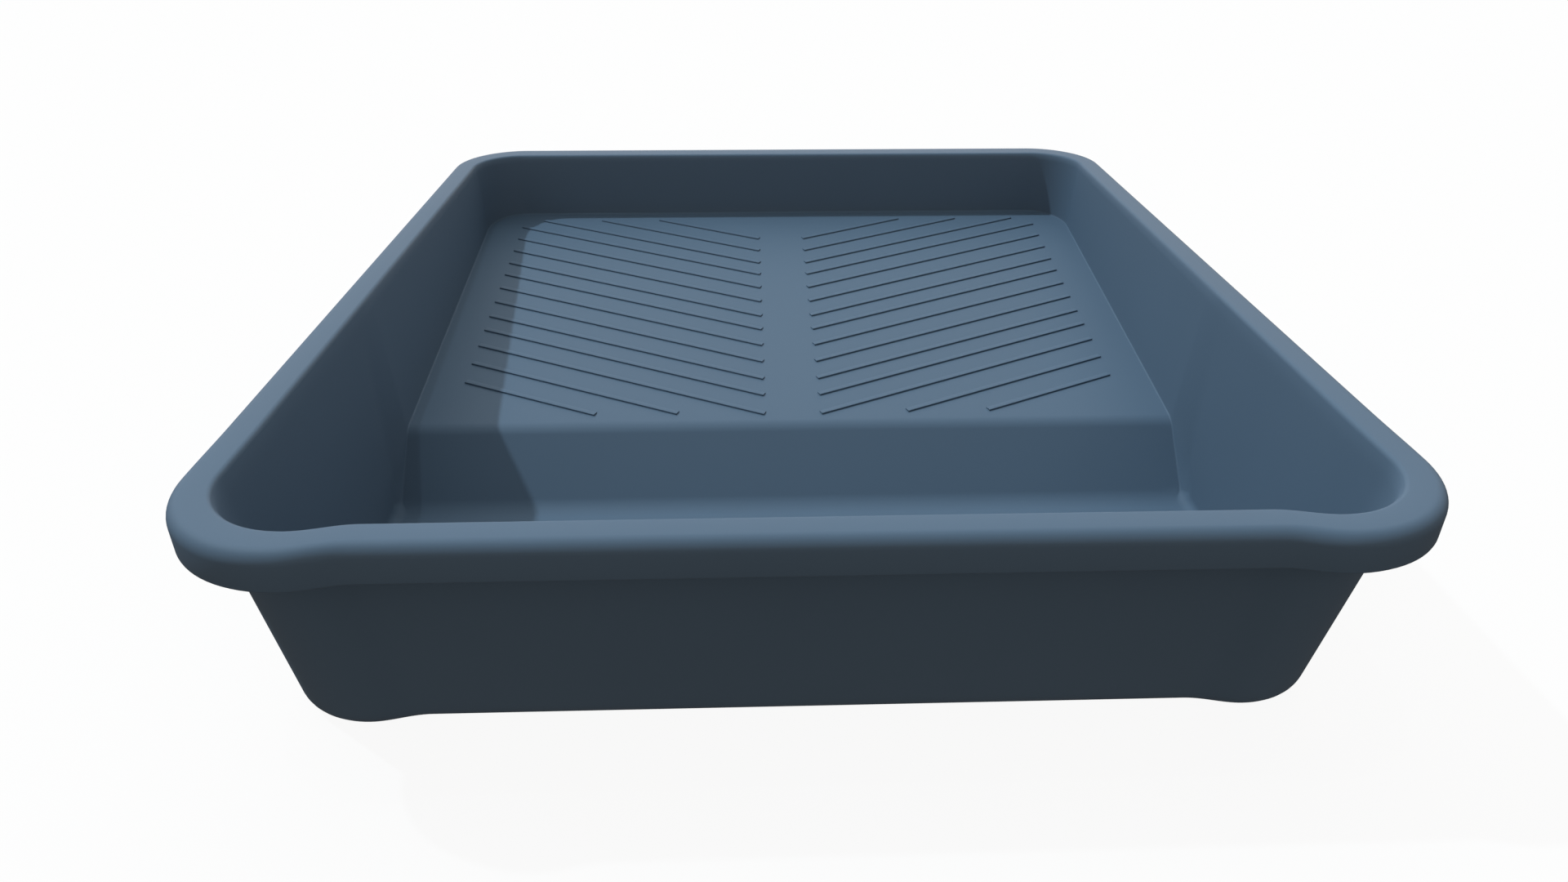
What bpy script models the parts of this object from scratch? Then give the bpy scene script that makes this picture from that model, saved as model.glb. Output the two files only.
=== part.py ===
"""A moulded paint roller tray: a rimmed shell with a deep well in front and a ribbed ramp behind.

Metres, +Z up, +Y towards the rear. The origin is on the surface that the tray stands on, at the
middle of the rim's outline. Run it with: blender --background --python part.py
"""
import math

import bmesh
import bpy
from mathutils import Vector
from mathutils.geometry import delaunay_2d_cdt

MM = 0.001

# Outside sizes
LENGTH = 348 * MM            # front to rear over the rim, with the front corner bulges
SIDE_WIDTH = 309 * MM        # across the rim where its sides are straight
HEIGHT = 76 * MM
WALL = 2.2 * MM

# Rim: a flat flange with rounded edges and a short lip turned down outside
RIM_WIDTH = 10.2 * MM        # flange width along the sides and the front
RIM_REAR = 12.4 * MM         # flange width along the rear
RIM_INNER_RADIUS = 1.4 * MM
RIM_OUTER_RADIUS = 3.4 * MM
LIP_DEPTH = 10.4 * MM
LIP_WALL = 2 * MM

# Plan outline of the inner wall at the rim
FRONT_CORNER_RADIUS = 24.4 * MM
REAR_CORNER_RADIUS = 20 * MM
BULGE_FRONT = 2.5 * MM       # how far the front corners swell forwards
BULGE_SIDE = 0.3 * MM        # and sideways
BLEND_FRONT = 16 * MM        # length of the S-curve that brings each bulge back to the straight
BLEND_SIDE = 26 * MM

# Wall draft, as inset per unit of depth
DRAFT_FRONT = 0.238
DRAFT_REAR = 0.11
DRAFT_WELL_SIDE = 0.036
DRAFT_RAMP_SIDE = 0.079      # down to the crease; below it the step's sides are upright
FRONT_RADIUS_LOSS = 0.03     # corner radius lost per unit of depth
REAR_RADIUS_LOSS = 0.08

# Shoulder: beside the crease the side walls come inwards from the well's draft to the ramp's
SHOULDER_LEAD = 12 * MM      # it starts this far ahead of the crease at the rim
SHOULDER_LEAN = 0.07         # and further ahead with depth
SHOULDER_SHORTEST = 4 * MM
SHOULDER_SOFT_START = 0.2    # rounding of its concave start and convex end, as shares of its length
SHOULDER_SOFT_END = 0.06

# Floor profile along Y
CREASE_Y = -21.75 * MM       # top edge of the step, where the ramp starts
CREASE_DEPTH = 51.8 * MM     # below the rim's top
RAMP_SLOPE = math.radians(7.43)
STEP_SLOPE = math.radians(45)
CREASE_RADIUS = 9 * MM
WELL_FOOT_RADIUS = 11 * MM
WELL_FOOT_FILLET = 4 * MM    # inside fillet between the walls and the well's floor
RAMP_FOOT_FILLET = 0.6 * MM  # and between the walls and the step or the ramp
FILLET_CHANGE = 3 * MM       # height above the well's floor over which one becomes the other

# Ribs of the ramp, in a V that points to the well
RIB_ROWS = 15
RIB_ANGLE = math.radians(23.8)
RIB_WIDTH = 2.3 * MM
RIB_HEIGHT = 1.4 * MM
RIB_GAP = 0.3 * MM           # clearance between a rib and the shell
RIB_PITCH = 12.45 * MM       # measured along the ramp
RIB_SHORT_PITCH = 11.2 * MM  # every fourth space is a little narrower
RIB_FRONT_PITCH = 13.4 * MM  # and the two foremost are a little wider
RIB_REAR_START = 147.6 * MM  # where the rearmost row's line meets the middle, from the crease
RIB_INNER_X = 10.4 * MM
RIB_OUTER_X = 125.1 * MM
RIB_FIELD_FRONT = 7.4 * MM   # rows that start ahead of the crease are cut here, behind the crease
RIB_FIELD_REAR = 173.6 * MM
RIB_CHAMFER = 0.15 * MM

# Rear legs: C-shaped posts under the ramp
LEG_INNER_X = 84 * MM
LEG_OUTER_X = 118 * MM
LEG_FRONT_Y = 127 * MM
LEG_REAR_Y = 145 * MM
LEG_WALL = 2.4 * MM
LEG_TAPER = 2.5 * MM         # how much narrower the leg is at its foot, on each side
LEG_GAP = 0.3 * MM

# Facets
CORNER_STEPS = 7
BLEND_STEPS = 4
EDGE_STEPS = 3
PROFILE_STEPS = 4
WALL_LEVELS = 3
WELL_STATION = 24 * MM       # first cross-section of the straight side, behind the front corner
RAMP_STATIONS = (0.0, 30 * MM, 75 * MM)
FRONT_SHARES = (0.0, 0.425)  # points along the front's straight, as shares of the corner centre's x
FLOOR_SHARES = (-0.8, -0.27, 0.27, 0.8)  # points across the floor, as shares of its half width
FOOT_ROUNDS = 12             # rounds of the search for the wall's foot
SMOOTH_ANGLE = math.radians(40)

INNER_HALF_WIDTH = SIDE_WIDTH / 2 - RIM_WIDTH
FRONT_INNER_Y = -LENGTH / 2 + BULGE_FRONT + RIM_WIDTH
REAR_INNER_Y = LENGTH / 2 - RIM_REAR
WELL_FLOOR_DEPTH = HEIGHT - WALL


def smooth(share):
    """0 to 1 with level ends."""
    share = min(max(share, 0.0), 1.0)
    return 0.5 - 0.5 * math.cos(math.pi * share)


def fillet(corner, before, after, radius, steps):
    """Points of the arc of that radius that rounds a corner between two directions leaving it."""
    half = before.angle(after) / 2
    reach = radius / math.tan(half)
    centre = corner + (before + after).normalized() * (radius / math.sin(half))
    start = corner + before * reach - centre
    end = corner + after * reach - centre
    turn = math.pi - 2 * half
    points = []
    for i in range(steps + 1):
        a = turn * i / steps
        points.append(centre + (start * math.sin(turn - a) + end * math.sin(a)) / math.sin(turn))
    return points


def floor_profile(below):
    """The floor's line in (y, z) from front to rear; below is 0 for its top and WALL for its underside."""
    step = Vector((math.cos(STEP_SLOPE), math.sin(STEP_SLOPE)))
    ramp = Vector((math.cos(RAMP_SLOPE), math.sin(RAMP_SLOPE)))
    crease = Vector((CREASE_Y, HEIGHT - CREASE_DEPTH))
    bisector = (STEP_SLOPE + RAMP_SLOPE) / 2
    half_turn = (STEP_SLOPE - RAMP_SLOPE) / 2
    shift = below / math.cos(half_turn)
    crease = crease + Vector((math.sin(bisector), -math.cos(bisector))) * shift
    floor_z = WALL - below
    foot = crease - step * ((crease.y - floor_z) / math.sin(STEP_SLOPE))
    level = Vector((1.0, 0.0))
    line = [Vector((-LENGTH, floor_z))]
    line += fillet(foot, -level, step, WELL_FOOT_RADIUS + below, PROFILE_STEPS)
    line += fillet(crease, -step, ramp, CREASE_RADIUS - below, PROFILE_STEPS)
    line.append(crease + ramp * LENGTH)
    return line


PROFILES = {below: floor_profile(below) for below in (0.0, WALL)}


def floor_z(y, below):
    line = PROFILES[below]
    for a, b in zip(line, line[1:]):
        if y <= b.x:
            return a.y + (b.y - a.y) * (y - a.x) / (b.x - a.x)
    return line[-1].y


def side_stations():
    """Y of the outline's points along a straight side: the floor's bends and the shoulder's band."""
    start = FRONT_INNER_Y + FRONT_CORNER_RADIUS - BULGE_FRONT + BLEND_SIDE
    end = REAR_INNER_Y - REAR_CORNER_RADIUS
    bends = [p.x for p in PROFILES[0.0][1:-1]]
    bends += [start + WELL_STATION, CREASE_Y - 2 * SHOULDER_LEAD, *RAMP_STATIONS]
    return [y for y in sorted(bends) if start < y < end]


STATIONS = side_stations()


def outline(half_width, front, rear, front_radius, rear_radius):
    """Right half of a plan outline as (x, y), from the front's middle round to the rear's middle."""
    cx = half_width + BULGE_SIDE - front_radius
    cy = front - BULGE_FRONT + front_radius
    points = [(cx * share, front) for share in FRONT_SHARES]
    for i in range(BLEND_STEPS):
        share = i / BLEND_STEPS
        points.append((cx - BLEND_FRONT * (1 - share), front - BULGE_FRONT * smooth(share)))
    for i in range(CORNER_STEPS + 1):
        a = math.pi / 2 * i / CORNER_STEPS
        points.append((cx + front_radius * math.sin(a), cy - front_radius * math.cos(a)))
    for i in range(1, BLEND_STEPS + 1):
        share = i / BLEND_STEPS
        points.append((half_width + BULGE_SIDE * (1 - smooth(share)), cy + BLEND_SIDE * share))
    points += [(half_width, y) for y in STATIONS]
    rx, ry = half_width - rear_radius, rear - rear_radius
    for i in range(CORNER_STEPS + 1):
        a = math.pi / 2 * i / CORNER_STEPS
        points.append((rx + rear_radius * math.cos(a), ry + rear_radius * math.sin(a)))
    points += [(rx * share, rear) for share in (0.5, 0.0)]
    return points


def rim_ring(offset, depth, rear_extra):
    """Outline at a constant offset from the inner wall's top edge, as right-half points (x, y, z)."""
    flat = outline(
        INNER_HALF_WIDTH + offset,
        FRONT_INNER_Y - offset,
        REAR_INNER_Y + offset + rear_extra,
        FRONT_CORNER_RADIUS + offset,
        REAR_CORNER_RADIUS + offset,
    )
    return [Vector((x, y, HEIGHT - depth)) for x, y in flat]


def soft_start(share, width):
    """0 up to 0, then share itself, with the corner between them rounded over +-width."""
    if share <= -width:
        return 0.0
    return share if share >= width else (share + width) ** 2 / (4 * width)


def shoulder_inset(y, depth):
    """How far the side wall stands inside the line of the well's side wall."""
    end = CREASE_Y - max(depth - CREASE_DEPTH, 0.0)
    start = min(CREASE_Y - SHOULDER_LEAD - SHOULDER_LEAN * depth, end - SHOULDER_SHORTEST)
    share = soft_start((y - start) / (end - start), SHOULDER_SOFT_START)
    share = 1.0 - soft_start(1.0 - share, SHOULDER_SOFT_END)
    return share * (DRAFT_RAMP_SIDE * min(depth, CREASE_DEPTH) - DRAFT_WELL_SIDE * depth)


def wall_point(i, depth, offset):
    """Point i of the drafted wall's outline at that depth, offset outwards by the wall's thickness."""
    x, y = outline(
        INNER_HALF_WIDTH - DRAFT_WELL_SIDE * depth + offset,
        FRONT_INNER_Y + DRAFT_FRONT * depth - offset,
        REAR_INNER_Y - DRAFT_REAR * depth + offset,
        FRONT_CORNER_RADIUS - FRONT_RADIUS_LOSS * depth + offset,
        REAR_CORNER_RADIUS - REAR_RADIUS_LOSS * depth + offset,
    )[i]
    x -= shoulder_inset(y, depth) * min(1.0, x / (INNER_HALF_WIDTH - REAR_CORNER_RADIUS))
    return Vector((x, y, HEIGHT - depth))


HALF_COUNT = len(outline(1.0, -1.0, 1.0, 0.1, 0.1))


def wall_foot(i, below):
    """Where the wall's line i would meet the floor without a fillet."""
    depth = WELL_FLOOR_DEPTH + below
    for _ in range(FOOT_ROUNDS):
        depth = HEIGHT - floor_z(wall_point(i, depth, below).y, below)
    return wall_point(i, depth, below), depth


def foot_radius(foot, below):
    """The fillet at the wall's foot shrinks where the well's floor turns up into the step."""
    share = smooth((foot.z - WALL + below) / FILLET_CHANGE)
    return WELL_FOOT_FILLET + (RAMP_FOOT_FILLET - WELL_FOOT_FILLET) * share + below


def wall_rings(below):
    """Right-half rings of one wall face, from its top edge down to the floor's edge."""
    top = RIM_INNER_RADIUS if below == 0.0 else WALL
    feet = [wall_foot(i, below) for i in range(HALF_COUNT)]
    rings = [[wall_point(i, top, below) for i in range(HALF_COUNT)]]
    for k in range(1, WALL_LEVELS + 1):
        rings.append([
            wall_point(i, top + (depth - foot_radius(foot, below) - top) * k / WALL_LEVELS, below)
            for i, (foot, depth) in enumerate(feet)
        ])
    edges = []
    for i, (foot, _) in enumerate(feet):
        before = feet[max(i - 1, 0)][0]
        after = feet[min(i + 1, HALF_COUNT - 1)][0]
        along = Vector((after.x - before.x, after.y - before.y, 0)).normalized()
        inwards = Vector((-along.y, along.x, 0))
        edge = foot + inwards * foot_radius(foot, below)
        edge.z = floor_z(edge.y, below)
        edges.append(edge)
    for k in range(1, EDGE_STEPS + 1):
        t = k / EDGE_STEPS
        rings.append([
            rings[WALL_LEVELS][i] * (1 - t) ** 2 + feet[i][0] * 2 * t * (1 - t) + edges[i] * t * t
            for i in range(HALF_COUNT)
        ])
    return rings


def mirrored(half):
    """A closed ring from its right half; the front's and rear's middle points aren't repeated."""
    return half + [Vector((-p.x, p.y, p.z)) for p in reversed(half[1:-1])]


def arc_depths(radius):
    """(share of radius outwards, depth) of a quarter round's inner points, from the top edge out."""
    angles = [math.pi / 2 * k / EDGE_STEPS for k in range(EDGE_STEPS + 1)]
    return [(radius * math.sin(a), radius * (1 - math.cos(a))) for a in angles]


def shell_rings():
    """All rings of the shell's skin, from the floor's top edge, over the rim, to its underside's edge."""
    rings = list(reversed(wall_rings(0.0)))
    for out, depth in reversed(arc_depths(RIM_INNER_RADIUS)[:-1]):
        rings.append(rim_ring(RIM_INNER_RADIUS - out, depth, 0.0))
    extra = RIM_REAR - RIM_WIDTH
    for out, depth in arc_depths(RIM_OUTER_RADIUS):
        rings.append(rim_ring(RIM_WIDTH - RIM_OUTER_RADIUS + out, depth, extra))
    rings.append(rim_ring(RIM_WIDTH, LIP_DEPTH, extra))
    rings.append(rim_ring(RIM_WIDTH - LIP_WALL, LIP_DEPTH, extra))
    rings.append(rim_ring(RIM_WIDTH - LIP_WALL, WALL, extra))
    rings += wall_rings(WALL)
    return rings


def fill_floor(mesh, ring, below, faces_up):
    """Closes a ring with triangles that follow the floor's profile."""
    outline_2d = [v.co.to_2d() for v in ring]
    edges = [(i, (i + 1) % len(ring)) for i in range(len(ring))]
    points = list(outline_2d)
    for bend in PROFILES[below][1:-1]:
        points += [Vector((INNER_HALF_WIDTH * share, bend.x)) for share in FLOOR_SHARES]
    flat, _, triangles, origins, _, _ = delaunay_2d_cdt(points, edges, [], 1, 1e-7)
    made = []
    for position, sources in zip(flat, origins):
        if sources and sources[0] < len(ring):
            made.append(ring[sources[0]])
        else:
            made.append(mesh.verts.new((position.x, position.y, floor_z(position.y, below))))
    for triangle in triangles:
        corners = [made[i] for i in triangle]
        face = mesh.faces.new(corners)
        face.normal_update()
        if (face.normal.z > 0) != faces_up:
            face.normal_flip()


def add_object(name, mesh, material, smooth_shading=True):
    data = bpy.data.meshes.new(name)
    mesh.to_mesh(data)
    mesh.free()
    data.materials.append(material)
    if smooth_shading:
        data.shade_smooth()
        data.set_sharp_from_angle(angle=SMOOTH_ANGLE)
    made = bpy.data.objects.new(name, data)
    bpy.context.scene.collection.objects.link(made)
    return made


def plastic(name, colour, roughness):
    material = bpy.data.materials.new(name)
    material.use_nodes = True
    shader = material.node_tree.nodes["Principled BSDF"]
    shader.inputs["Base Color"].default_value = (*colour, 1.0)
    shader.inputs["Roughness"].default_value = roughness
    shader.inputs["Metallic"].default_value = 0.0
    return material


def make_shell():
    mesh = bmesh.new()
    rings = [[mesh.verts.new(p) for p in mirrored(half)] for half in shell_rings()]
    count = len(rings[0])
    for upper, lower in zip(rings, rings[1:]):
        for i in range(count):
            j = (i + 1) % count
            mesh.faces.new((upper[i], lower[i], lower[j], upper[j]))
    fill_floor(mesh, rings[0], 0.0, True)
    fill_floor(mesh, rings[-1], WALL, False)
    bmesh.ops.recalc_face_normals(mesh, faces=mesh.faces)
    return add_object("tray_shell", mesh, plastic("shell_polypropylene", (0.115, 0.175, 0.24), 0.45))


def on_ramp(x, along, above):
    """A point of the ramp: along is measured up the slope from the crease, above is square to it."""
    y = CREASE_Y + along * math.cos(RAMP_SLOPE) - above * math.sin(RAMP_SLOPE)
    z = HEIGHT - CREASE_DEPTH + along * math.sin(RAMP_SLOPE) + above * math.cos(RAMP_SLOPE)
    return Vector((x, y, z))


def rib_pitch(row):
    """Distance from that row, counted from the rear, to the next one in front of it."""
    if row >= RIB_ROWS - 2:
        return RIB_FRONT_PITCH
    return RIB_SHORT_PITCH if row % 4 == 3 else RIB_PITCH


def rib_lines():
    """Inner and outer end (x, along) of each rib of the right half, from the rear to the front."""
    rise = math.tan(RIB_ANGLE)
    start = RIB_REAR_START
    lines = []
    for row in range(1, RIB_ROWS + 1):
        inner_x = RIB_INNER_X if start > 0 else (RIB_FIELD_FRONT - start) / rise
        outer_x = min(RIB_OUTER_X, (RIB_FIELD_REAR - start) / rise)
        lines.append(((inner_x, start + inner_x * rise), (outer_x, start + outer_x * rise)))
        start -= rib_pitch(row)
    return lines


def make_rib(name, inner, outer, side, material):
    """A square-cut bar along its line, with its two upper long edges chamfered."""
    line = Vector((outer[0] - inner[0], outer[1] - inner[1])).normalized()
    across = Vector((-line.y, line.x))
    half = RIB_WIDTH / 2
    section = [
        (-half, RIB_GAP),
        (half, RIB_GAP),
        (half, RIB_HEIGHT - RIB_CHAMFER),
        (half - RIB_CHAMFER, RIB_HEIGHT),
        (RIB_CHAMFER - half, RIB_HEIGHT),
        (-half, RIB_HEIGHT - RIB_CHAMFER),
    ]
    mesh = bmesh.new()
    ends = []
    for end in (inner, outer):
        corners = []
        for width, above in section:
            x, along = Vector(end) + across * width
            corners.append(mesh.verts.new(on_ramp(side * x, along, above)))
        ends.append(corners)
        mesh.faces.new(corners)
    count = len(section)
    for i in range(count):
        j = (i + 1) % count
        mesh.faces.new((ends[0][i], ends[0][j], ends[1][j], ends[1][i]))
    bmesh.ops.recalc_face_normals(mesh, faces=mesh.faces)
    return add_object(name, mesh, material, smooth_shading=False)


def make_leg(name, side, material):
    """A C-section post, open to the front, whose top follows the ramp's underside."""
    mesh = bmesh.new()
    levels = []
    for taper, at_top in ((LEG_TAPER, False), (0.0, True)):
        x0, x1 = LEG_INNER_X + taper, LEG_OUTER_X - taper
        y0, y1 = LEG_FRONT_Y + taper, LEG_REAR_Y
        plan = [
            (x0, y0), (x0 + LEG_WALL, y0), (x0 + LEG_WALL, y1 - LEG_WALL), (x1 - LEG_WALL, y1 - LEG_WALL),
            (x1 - LEG_WALL, y0), (x1, y0), (x1, y1), (x0, y1),
        ]
        corners = []
        for x, y in plan:
            z = floor_z(y, WALL) - LEG_GAP if at_top else 0.0
            corners.append(mesh.verts.new((side * x, y, z)))
        levels.append(corners)
        mesh.faces.new(corners)
    count = len(levels[0])
    for i in range(count):
        j = (i + 1) % count
        mesh.faces.new((levels[0][i], levels[0][j], levels[1][j], levels[1][i]))
    bmesh.ops.recalc_face_normals(mesh, faces=mesh.faces)
    return add_object(name, mesh, material, smooth_shading=False)


def main():
    for old in list(bpy.data.objects):
        bpy.data.objects.remove(old)
    make_shell()
    for hand, side in (("left", -1), ("right", 1)):
        rib_plastic = plastic(f"rib_polypropylene_{hand}", (0.125, 0.185, 0.25), 0.4)
        for row, (inner, outer) in enumerate(rib_lines(), start=1):
            make_rib(f"ramp_rib_{hand}_{row:02d}", inner, outer, side, rib_plastic)
        leg_plastic = plastic(f"leg_polypropylene_{hand}", (0.105, 0.165, 0.23), 0.5)
        make_leg(f"rear_leg_{hand}", side, leg_plastic)


main()
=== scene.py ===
# %% [markdown]
# # A moulded paint roller tray
#
# The tray is one injection moulding in slate-blue polypropylene: a rim with a turned-down lip, a deep
# paint well, a step, and a gently rising ramp with thin ribs in a V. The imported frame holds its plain
# solids. This lesson makes the fine surface that stands for them, its plastic, and a small studio.

# %% Load the frame
import math

import bmesh
import bpy
from mathutils import Matrix, Vector
from mathutils.geometry import delaunay_2d_cdt


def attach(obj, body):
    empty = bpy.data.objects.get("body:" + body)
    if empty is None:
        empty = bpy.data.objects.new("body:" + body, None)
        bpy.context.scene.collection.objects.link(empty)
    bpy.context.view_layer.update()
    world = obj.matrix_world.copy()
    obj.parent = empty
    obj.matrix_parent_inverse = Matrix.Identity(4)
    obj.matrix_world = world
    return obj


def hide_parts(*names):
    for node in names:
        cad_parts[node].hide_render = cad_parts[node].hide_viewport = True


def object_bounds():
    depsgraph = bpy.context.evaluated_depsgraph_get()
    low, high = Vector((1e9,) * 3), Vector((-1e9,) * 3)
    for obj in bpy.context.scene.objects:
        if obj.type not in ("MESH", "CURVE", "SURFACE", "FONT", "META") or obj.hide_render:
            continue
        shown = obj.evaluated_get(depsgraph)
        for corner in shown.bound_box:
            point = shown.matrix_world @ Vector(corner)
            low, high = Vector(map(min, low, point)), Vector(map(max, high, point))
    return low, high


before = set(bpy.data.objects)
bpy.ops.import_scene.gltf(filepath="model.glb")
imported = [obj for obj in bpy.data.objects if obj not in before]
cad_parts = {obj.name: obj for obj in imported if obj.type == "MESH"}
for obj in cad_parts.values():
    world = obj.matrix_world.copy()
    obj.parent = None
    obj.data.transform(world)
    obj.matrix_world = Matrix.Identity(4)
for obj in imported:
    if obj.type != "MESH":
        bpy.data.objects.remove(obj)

cad_low, cad_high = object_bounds()
MM = 0.001
print("frame:", len(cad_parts), "nodes, box", [round(v / MM, 1) for v in (*cad_low, *cad_high)], "mm")

# %% [markdown]
# ## The tray's main sizes
#
# A moulding is drawn from a few numbers: the plan outline, the wall's thickness and draft, and the
# floor's side profile. The outside comes from the frame's box, so the fine shell can't drift away from
# the solids that the physics uses. The rest repeats the design's own sizes in metres.

# %% Sizes from the frame
LENGTH = cad_high.y - cad_low.y
HEIGHT = cad_high.z
WALL = 2.2 * MM
RIM_WIDTH = 10.2 * MM
RIM_REAR = 12.4 * MM
BULGE_FRONT = 2.5 * MM
BULGE_SIDE = 0.3 * MM
BLEND_FRONT = 16 * MM
BLEND_SIDE = 26 * MM
LIP_DEPTH = 10.4 * MM
LIP_WALL = 2 * MM
FRONT_CORNER_RADIUS = 24.4 * MM
REAR_CORNER_RADIUS = 20 * MM
INNER_HALF_WIDTH = cad_high.x - BULGE_SIDE - RIM_WIDTH
FRONT_INNER_Y = cad_low.y + BULGE_FRONT + RIM_WIDTH
REAR_INNER_Y = cad_high.y - RIM_REAR
print("inside of the rim:", round(2 * INNER_HALF_WIDTH / MM, 1), "mm wide")

# %% [markdown]
# ## Draft and fillets
#
# A moulded wall leans outwards so that the part leaves its mould. The front wall leans most, about
# 13 degrees, so that the last paint can be poured out. Beside the ramp the side walls stand further
# in than beside the well. The change is a soft shoulder just ahead of the step.

# %% Draft and fillets
DRAFT_FRONT = 0.238
DRAFT_REAR = 0.11
DRAFT_WELL_SIDE = 0.036
DRAFT_RAMP_SIDE = 0.079
FRONT_RADIUS_LOSS = 0.03
REAR_RADIUS_LOSS = 0.08
SHOULDER_LEAD = 12 * MM
SHOULDER_LEAN = 0.07
SHOULDER_SHORTEST = 4 * MM
SHOULDER_SOFT_START = 0.2
SHOULDER_SOFT_END = 0.06
RIM_INNER_RADIUS = 1.4 * MM
RIM_OUTER_RADIUS = 3.4 * MM
LIP_EDGE_RADIUS = 0.7 * MM
WELL_FOOT_FILLET = 4 * MM
RAMP_FOOT_FILLET = 0.6 * MM
FILLET_CHANGE = 3 * MM

# %% [markdown]
# ## The floor's side profile
#
# Seen from the side, the floor is three straight runs: the well's floor, a step at 45 degrees and the
# ramp. Two arcs join them. `fillet` rounds a corner with an arc, as a draughtsman would, and the same
# runs moved down by the wall's thickness give the underside.

# %% Floor profile
CREASE_Y = -21.75 * MM
CREASE_DEPTH = 51.8 * MM
RAMP_SLOPE = math.radians(7.43)
STEP_SLOPE = math.radians(45)
CREASE_RADIUS = 9 * MM
WELL_FOOT_RADIUS = 11 * MM
PROFILE_STEPS = 12


def fillet(corner, before, after, radius, steps):
    """Points of the arc of that radius that rounds a corner between two directions leaving it."""
    half = before.angle(after) / 2
    reach = radius / math.tan(half)
    centre = corner + (before + after).normalized() * (radius / math.sin(half))
    start = corner + before * reach - centre
    end = corner + after * reach - centre
    turn = math.pi - 2 * half
    points = []
    for i in range(steps + 1):
        a = turn * i / steps
        points.append(centre + (start * math.sin(turn - a) + end * math.sin(a)) / math.sin(turn))
    return points


def floor_profile(below):
    """The floor's line in (y, z), front to rear; below is 0 for its top and WALL for its underside."""
    step = Vector((math.cos(STEP_SLOPE), math.sin(STEP_SLOPE)))
    ramp = Vector((math.cos(RAMP_SLOPE), math.sin(RAMP_SLOPE)))
    bisector = (STEP_SLOPE + RAMP_SLOPE) / 2
    shift = below / math.cos((STEP_SLOPE - RAMP_SLOPE) / 2)
    crease = Vector((CREASE_Y, HEIGHT - CREASE_DEPTH))
    crease += Vector((math.sin(bisector), -math.cos(bisector))) * shift
    floor = WALL - below
    foot = crease - step * ((crease.y - floor) / math.sin(STEP_SLOPE))
    level = Vector((1.0, 0.0))
    line = [Vector((-LENGTH, floor))]
    line += fillet(foot, -level, step, WELL_FOOT_RADIUS + below, PROFILE_STEPS)
    line += fillet(crease, -step, ramp, CREASE_RADIUS - below, PROFILE_STEPS)
    line.append(crease + ramp * LENGTH)
    return line


PROFILES = {below: floor_profile(below) for below in (0.0, WALL)}


def floor_z(y, below):
    line = PROFILES[below]
    for a, b in zip(line, line[1:]):
        if y <= b.x:
            return a.y + (b.y - a.y) * (y - a.x) / (b.x - a.x)
    return line[-1].y


print("ramp rises from", round(floor_z(0, 0.0) / MM, 1), "mm at mid-length to",
      round(floor_z(REAR_INNER_Y, 0.0) / MM, 1), "mm at the rear")

# %% [markdown]
# ## The plan outline
#
# The rim is a rounded rectangle whose front corners swell outwards into pouring lips. Each swelling
# comes back to the straight in an S-curve, half a cosine wave. Every level of the tray uses the same
# points in the same order, so that neighbouring levels can be joined by plain quads.

# %% Plan outline
CORNER_STEPS = 24
BLEND_STEPS = 14
END_STEPS = 12
STRAIGHT_STEP = 7 * MM
SHOULDER_STEP = 1 * MM


def smooth(share):
    """0 to 1 with level ends."""
    share = min(max(share, 0.0), 1.0)
    return 0.5 - 0.5 * math.cos(math.pi * share)


def side_stations():
    """Y of the outline's points along a straight side: closer together where the floor bends.

    They start behind the front corner's blend at its deepest, because the front wall's draft moves it.
    """
    y = FRONT_INNER_Y + DRAFT_FRONT * HEIGHT + FRONT_CORNER_RADIUS - BULGE_FRONT + BLEND_SIDE
    end = REAR_INNER_Y - REAR_CORNER_RADIUS
    bend_start = PROFILES[0.0][1].x - SHOULDER_LEAD / 2
    bend_end = PROFILES[0.0][-2].x
    stations = []
    while True:
        y += SHOULDER_STEP if bend_start < y < bend_end else STRAIGHT_STEP
        if y > end - STRAIGHT_STEP / 3:
            return stations
        stations.append(y)


STATIONS = side_stations()


def outline(half_width, front, rear, front_radius, rear_radius):
    """Right half of a plan outline as (x, y), from the front's middle round to the rear's middle."""
    cx = half_width + BULGE_SIDE - front_radius
    cy = front - BULGE_FRONT + front_radius
    straight = cx - BLEND_FRONT
    points = [(straight * i / END_STEPS, front) for i in range(END_STEPS)]
    for i in range(BLEND_STEPS):
        share = i / BLEND_STEPS
        points.append((cx - BLEND_FRONT * (1 - share), front - BULGE_FRONT * smooth(share)))
    for i in range(CORNER_STEPS + 1):
        a = math.pi / 2 * i / CORNER_STEPS
        points.append((cx + front_radius * math.sin(a), cy - front_radius * math.cos(a)))
    for i in range(1, BLEND_STEPS + 1):
        share = i / BLEND_STEPS
        points.append((half_width + BULGE_SIDE * (1 - smooth(share)), cy + BLEND_SIDE * share))
    points += [(half_width, y) for y in STATIONS]
    rx, ry = half_width - rear_radius, rear - rear_radius
    for i in range(CORNER_STEPS + 1):
        a = math.pi / 2 * i / CORNER_STEPS
        points.append((rx + rear_radius * math.cos(a), ry + rear_radius * math.sin(a)))
    points += [(rx * i / END_STEPS, rear) for i in reversed(range(END_STEPS))]
    return points


HALF_COUNT = len(outline(1.0, -1.0, 1.0, 0.1, 0.1))
print("outline:", 2 * HALF_COUNT - 2, "points a ring")

# %% [markdown]
# ## Walls and rim as rings
#
# The skin of the shell is a stack of closed rings: up the inside wall, over the rim, down the lip, back
# up behind it and down the outside wall. Every ring is the plan outline, drawn in by the draft at its
# depth. Only the shoulder needs more: a share that grows along the wall and is softened at both ends.

# %% Points of the wall
def soft_start(share, width):
    """0 up to 0, then share itself, with the corner between them rounded over +-width."""
    if share <= -width:
        return 0.0
    return share if share >= width else (share + width) ** 2 / (4 * width)


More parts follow.
